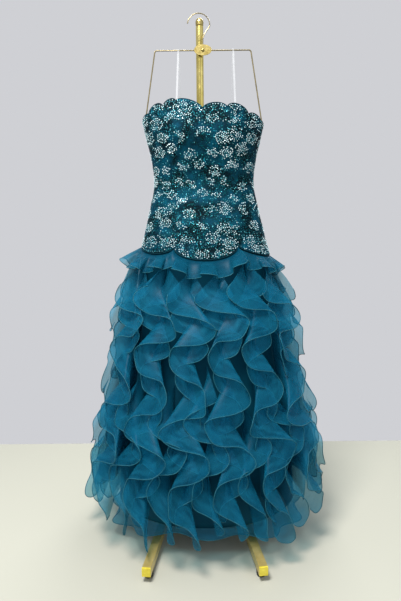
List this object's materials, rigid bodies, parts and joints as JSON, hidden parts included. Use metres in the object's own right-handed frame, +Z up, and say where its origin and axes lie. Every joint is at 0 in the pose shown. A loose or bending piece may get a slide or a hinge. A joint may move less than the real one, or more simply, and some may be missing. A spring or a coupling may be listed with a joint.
{
  "type": "strapless ruffled gown on a display stand",
  "caption": "Strapless evening gown with a beaded, scalloped bodice and a skirt of corkscrew organza ruffles, hanging open and hollow on a gold post stand with a wire frame.",
  "frame": {"origin": "on the floor, under the middle of the whole object's box", "axes": "+Z up along the post, the gown's front faces -Y, +X to the viewer's right"},
  "size_m": [0.7653, 0.6461, 1.562],
  "materials": {
    "beaded_lace": "dark teal lace set with silver stones and sequins",
    "lining_satin": "dark teal satin",
    "organza": "sheer crisp teal organza with rolled edges",
    "clear_tape": "clear hanger tape",
    "gold_tube": "polished gold plating",
    "gold_plate": "satin gold",
    "yellow_cap": "bright yellow gold plastic",
    "bright_wire": "bright wire",
    "black_rubber": "black rubber"
  },
  "bodies": {
    "root": {"bodice_front": "beaded_lace", "bodice_back_left": "beaded_lace", "bodice_back_right": "beaded_lace", "lining_front": "lining_satin", "lining_back": "lining_satin", "hem_band_front": "organza", "hem_band_back": "organza", "hip_frill_front": "organza", "hip_frill_back": "organza", "ruffle_01": "organza", "ruffle_02": "organza", "ruffle_03": "organza", "ruffle_04": "organza", "ruffle_05": "organza", "ruffle_06": "organza", "ruffle_07": "organza", "ruffle_08": "organza", "ruffle_09": "organza", "ruffle_10": "organza", "ruffle_11": "organza", "ruffle_12": "organza", "ruffle_13": "organza", "ruffle_14": "organza", "ruffle_15": "organza", "ruffle_16": "organza", "ruffle_17": "organza", "ruffle_18": "organza", "ruffle_19": "organza", "ruffle_20": "organza", "ruffle_21": "organza", "ruffle_22": "organza", "ruffle_23": "organza", "ruffle_24": "organza", "ruffle_25": "organza", "ruffle_26": "organza", "ruffle_27": "organza", "ruffle_28": "organza", "hanger_loop_left": "clear_tape", "hanger_loop_right": "clear_tape", "post": "gold_tube", "post_cap": "gold_tube", "base_crossbar": "gold_tube", "leg_front_left": "gold_tube", "leg_cap_front_left": "yellow_cap", "foot_front_left": "black_rubber", "leg_front_right": "gold_tube", "leg_cap_front_right": "yellow_cap", "foot_front_right": "black_rubber", "leg_back_left": "gold_tube", "leg_cap_back_left": "yellow_cap", "foot_back_left": "black_rubber", "leg_back_right": "gold_tube", "leg_cap_back_right": "yellow_cap", "foot_back_right": "black_rubber", "plate": "gold_plate", "plate_screw": "gold_plate", "wire_frame": "bright_wire", "hook": "bright_wire"}
  },
  "joints": []
}
